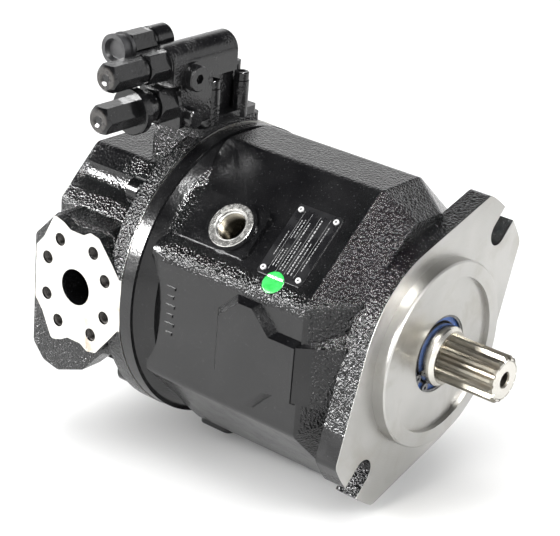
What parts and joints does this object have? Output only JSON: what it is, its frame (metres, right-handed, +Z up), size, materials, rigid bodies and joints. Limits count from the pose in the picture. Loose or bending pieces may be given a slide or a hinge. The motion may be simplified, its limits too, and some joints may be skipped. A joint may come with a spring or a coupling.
{
  "type": "axial piston pump",
  "caption": "Swash plate axial piston pump: splined shaft, two-bolt pilot flange, cast casing, side ports, stacked control valve on top.",
  "frame": {"origin": "centre of the mounting flange's face, on the shaft axis", "axes": "+X along the shaft, out of the drive end; +Z up towards the control valve; the pressure port faces -Y"},
  "size_m": [0.317, 0.217, 0.2772],
  "materials": {
    "black_casting": "gloss black paint over rough casting",
    "valve_casting": "gloss black-grey paint",
    "black_hardware": "painted over, glossy",
    "nameplate": "black printed plate",
    "rivets": "bright",
    "shaft_steel": "machined, lightly oiled",
    "bearing_steel": "ground",
    "spring_steel": "drawn wire",
    "ground_steel": "ground and polished",
    "bronze": "turned",
    "grey_iron": "machined",
    "seal_rubber": "blue, matt",
    "gasket": "thin dark sheet",
    "dust_cap_plastic": "black moulded"
  },
  "bodies": {
    "casing": {"pump_housing": "black_casting", "port_plate": "black_casting", "valve_body": "valve_casting", "cover_screws": "black_hardware", "valve_screws": "black_hardware", "pressure_sleeve": "black_hardware", "flow_sleeve": "black_hardware", "flow_lock_disc": "black_hardware", "pressure_cap": "black_hardware", "flow_cap": "black_hardware", "valve_plugs": "black_hardware", "drain_plug": "black_hardware", "pilot_fitting": "black_hardware", "nameplate": "nameplate", "nameplate_rivets": "rivets", "bearing_cups": "bearing_steel", "seal_snap_ring": "bearing_steel", "return_spring": "spring_steel", "pressure_spring": "spring_steel", "flow_spring": "spring_steel", "guide_sleeves": "ground_steel", "valve_plate": "bronze", "cradle_shells": "bronze", "shaft_seal": "seal_rubber", "cover_gasket": "gasket", "valve_gasket": "gasket", "dust_cap": "dust_cap_plastic"},
    "rotating_group": {"drive_shaft": "shaft_steel", "bearing_cones": "bearing_steel", "cylinder_block": "grey_iron", "block_spring": "spring_steel", "preload_parts": "bearing_steel", "retainer_ball": "ground_steel"},
    "bearing_rollers": {"bearing_rollers": "bearing_steel"},
    "swash_plate": {"swash_plate": "grey_iron"},
    "retainer_plate": {"retainer_plate": "ground_steel"},
    "counter_piston": {"counter_piston": "ground_steel"},
    "control_piston": {"control_piston": "ground_steel"},
    "pressure_spool": {"pressure_spool": "ground_steel"},
    "flow_spool": {"flow_spool": "ground_steel"},
    "pressure_adjuster": {"pressure_adjuster": "ground_steel"},
    "flow_adjuster": {"flow_adjuster": "ground_steel"},
    "piston_1": {"piston_1": "ground_steel"},
    "slipper_1": {"slipper_1": "bronze"},
    "piston_2": {"piston_2": "ground_steel"},
    "slipper_2": {"slipper_2": "bronze"},
    "piston_3": {"piston_3": "ground_steel"},
    "slipper_3": {"slipper_3": "bronze"},
    "piston_4": {"piston_4": "ground_steel"},
    "slipper_4": {"slipper_4": "bronze"},
    "piston_5": {"piston_5": "ground_steel"},
    "slipper_5": {"slipper_5": "bronze"},
    "piston_6": {"piston_6": "ground_steel"},
    "slipper_6": {"slipper_6": "bronze"},
    "piston_7": {"piston_7": "ground_steel"},
    "slipper_7": {"slipper_7": "bronze"},
    "piston_8": {"piston_8": "ground_steel"},
    "slipper_8": {"slipper_8": "bronze"},
    "piston_9": {"piston_9": "ground_steel"},
    "slipper_9": {"slipper_9": "bronze"}
  },
  "joints": [
    {"name": "shaft_spin", "type": "hinge", "parent": "casing", "child": "rotating_group", "pos_m": [0, 0, 0], "axis": [1, 0, 0], "range_deg": [-360, 0]},
    {"name": "roller_roll", "type": "hinge", "parent": "casing", "child": "bearing_rollers", "pos_m": [0, 0, 0], "axis": [1, 0, 0], "range_deg": [-160, 0]},
    {"name": "swash_tilt", "type": "hinge", "parent": "casing", "child": "swash_plate", "pos_m": [-0.085, 0, 0], "axis": [0, 1, 0], "range_deg": [0, 18]},
    {"name": "retainer_tilt", "type": "hinge", "parent": "rotating_group", "child": "retainer_plate", "pos_m": [-0.085, 0, 0], "axis": [0, 1, 0], "range_deg": [0, 18.1]},
    {"name": "piston_1_stroke", "type": "slide", "parent": "rotating_group", "child": "piston_1", "axis": [1, 0, 0], "range_m": [-0.0002, 0.01264]},
    {"name": "slipper_1_swivel", "type": "hinge", "parent": "piston_1", "child": "slipper_1", "pos_m": [-0.085, 0, 0.03864], "axis": [0, 1, 0], "range_deg": [0, 18.1]},
    {"name": "piston_2_stroke", "type": "slide", "parent": "rotating_group", "child": "piston_2", "axis": [1, 0, 0], "range_m": [-0.0002, 0.00973]},
    {"name": "slipper_2_swivel", "type": "hinge", "parent": "piston_2", "child": "slipper_2", "pos_m": [-0.085, -0.02484, 0.0296], "axis": [0, 1, 0], "range_deg": [0, 18.1]},
    {"name": "piston_3_stroke", "type": "slide", "parent": "rotating_group", "child": "piston_3", "axis": [1, 0, 0], "range_m": [-0.0002, 0.00236]},
    {"name": "slipper_3_swivel", "type": "hinge", "parent": "piston_3", "child": "slipper_3", "pos_m": [-0.085, -0.03805, 0.00671], "axis": [0, 1, 0], "range_deg": [0, 18.1]},
    {"name": "piston_4_stroke", "type": "slide", "parent": "rotating_group", "child": "piston_4", "axis": [1, 0, 0], "range_m": [-0.00642, 0.0002]},
    {"name": "slipper_4_swivel", "type": "hinge", "parent": "piston_4", "child": "slipper_4", "pos_m": [-0.085, -0.03346, -0.01932], "axis": [0, 1, 0], "range_deg": [0, 18.1]},
    {"name": "piston_5_stroke", "type": "slide", "parent": "rotating_group", "child": "piston_5", "axis": [1, 0, 0], "range_m": [-0.01189, 0.0002]},
    {"name": "slipper_5_swivel", "type": "hinge", "parent": "piston_5", "child": "slipper_5", "pos_m": [-0.085, -0.01322, -0.03631], "axis": [0, 1, 0], "range_deg": [0, 18.1]},
    {"name": "piston_6_stroke", "type": "slide", "parent": "rotating_group", "child": "piston_6", "axis": [1, 0, 0], "range_m": [-0.01189, 0.0002]},
    {"name": "slipper_6_swivel", "type": "hinge", "parent": "piston_6", "child": "slipper_6", "pos_m": [-0.085, 0.01322, -0.03631], "axis": [0, 1, 0], "range_deg": [0, 18.1]},
    {"name": "piston_7_stroke", "type": "slide", "parent": "rotating_group", "child": "piston_7", "axis": [1, 0, 0], "range_m": [-0.00642, 0.0002]},
    {"name": "slipper_7_swivel", "type": "hinge", "parent": "piston_7", "child": "slipper_7", "pos_m": [-0.085, 0.03346, -0.01932], "axis": [0, 1, 0], "range_deg": [0, 18.1]},
    {"name": "piston_8_stroke", "type": "slide", "parent": "rotating_group", "child": "piston_8", "axis": [1, 0, 0], "range_m": [-0.0002, 0.00236]},
    {"name": "slipper_8_swivel", "type": "hinge", "parent": "piston_8", "child": "slipper_8", "pos_m": [-0.085, 0.03805, 0.00671], "axis": [0, 1, 0], "range_deg": [0, 18.1]},
    {"name": "piston_9_stroke", "type": "slide", "parent": "rotating_group", "child": "piston_9", "axis": [1, 0, 0], "range_m": [-0.0002, 0.00973]},
    {"name": "slipper_9_swivel", "type": "hinge", "parent": "piston_9", "child": "slipper_9", "pos_m": [-0.085, 0.02484, 0.0296], "axis": [0, 1, 0], "range_deg": [0, 18.1]},
    {"name": "counter_piston_stroke", "type": "slide", "parent": "casing", "child": "counter_piston", "axis": [1, 0, 0], "range_m": [0, 0.02338], "deforming": ["return_spring"]},
    {"name": "control_piston_stroke", "type": "slide", "parent": "casing", "child": "control_piston", "axis": [1, 0, 0], "range_m": [-0.02338, 0]},
    {"name": "pressure_spool_slide", "type": "slide", "parent": "casing", "child": "pressure_spool", "axis": [0, 1, 0], "range_m": [-0.003, 0], "stiffness_N_per_m": 20000, "deforming": ["pressure_spring"]},
    {"name": "pressure_adjust", "type": "hinge", "parent": "casing", "child": "pressure_adjuster", "pos_m": [-0.188, 0, 0.1525], "axis": [0, 1, 0], "range_deg": [0, 720]},
    {"name": "flow_spool_slide", "type": "slide", "parent": "casing", "child": "flow_spool", "axis": [0, 1, 0], "range_m": [-0.003, 0], "stiffness_N_per_m": 5000, "deforming": ["flow_spring"]},
    {"name": "flow_adjust", "type": "hinge", "parent": "casing", "child": "flow_adjuster", "pos_m": [-0.188, 0, 0.1265], "axis": [0, 1, 0], "range_deg": [0, 720]}
  ],
  "couplings": [
    {"joint": "roller_roll", "follows": "shaft_spin", "ratio": 0.43},
    {"joint": "retainer_tilt", "follows": "swash_tilt", "ratio": 1},
    {"joint": "piston_1_stroke", "follows": "swash_tilt", "m_per_rad": 0.039606},
    {"joint": "slipper_1_swivel", "follows": "swash_tilt", "ratio": 1},
    {"joint": "piston_2_stroke", "follows": "swash_tilt", "m_per_rad": 0.03034},
    {"joint": "slipper_2_swivel", "follows": "swash_tilt", "ratio": 1},
    {"joint": "piston_3_stroke", "follows": "swash_tilt", "m_per_rad": 0.0068775},
    {"joint": "slipper_3_swivel", "follows": "swash_tilt", "ratio": 1},
    {"joint": "piston_4_stroke", "follows": "swash_tilt", "m_per_rad": -0.019803},
    {"joint": "slipper_4_swivel", "follows": "swash_tilt", "ratio": 1},
    {"joint": "piston_5_stroke", "follows": "swash_tilt", "m_per_rad": -0.037217},
    {"joint": "slipper_5_swivel", "follows": "swash_tilt", "ratio": 1},
    {"joint": "piston_6_stroke", "follows": "swash_tilt", "m_per_rad": -0.037217},
    {"joint": "slipper_6_swivel", "follows": "swash_tilt", "ratio": 1},
    {"joint": "piston_7_stroke", "follows": "swash_tilt", "m_per_rad": -0.019803},
    {"joint": "slipper_7_swivel", "follows": "swash_tilt", "ratio": 1},
    {"joint": "piston_8_stroke", "follows": "swash_tilt", "m_per_rad": 0.0068775},
    {"joint": "slipper_8_swivel", "follows": "swash_tilt", "ratio": 1},
    {"joint": "piston_9_stroke", "follows": "swash_tilt", "m_per_rad": 0.03034},
    {"joint": "slipper_9_swivel", "follows": "swash_tilt", "ratio": 1},
    {"joint": "counter_piston_stroke", "follows": "swash_tilt", "m_per_rad": 0.0738},
    {"joint": "control_piston_stroke", "follows": "swash_tilt", "m_per_rad": -0.0738}
  ]
}
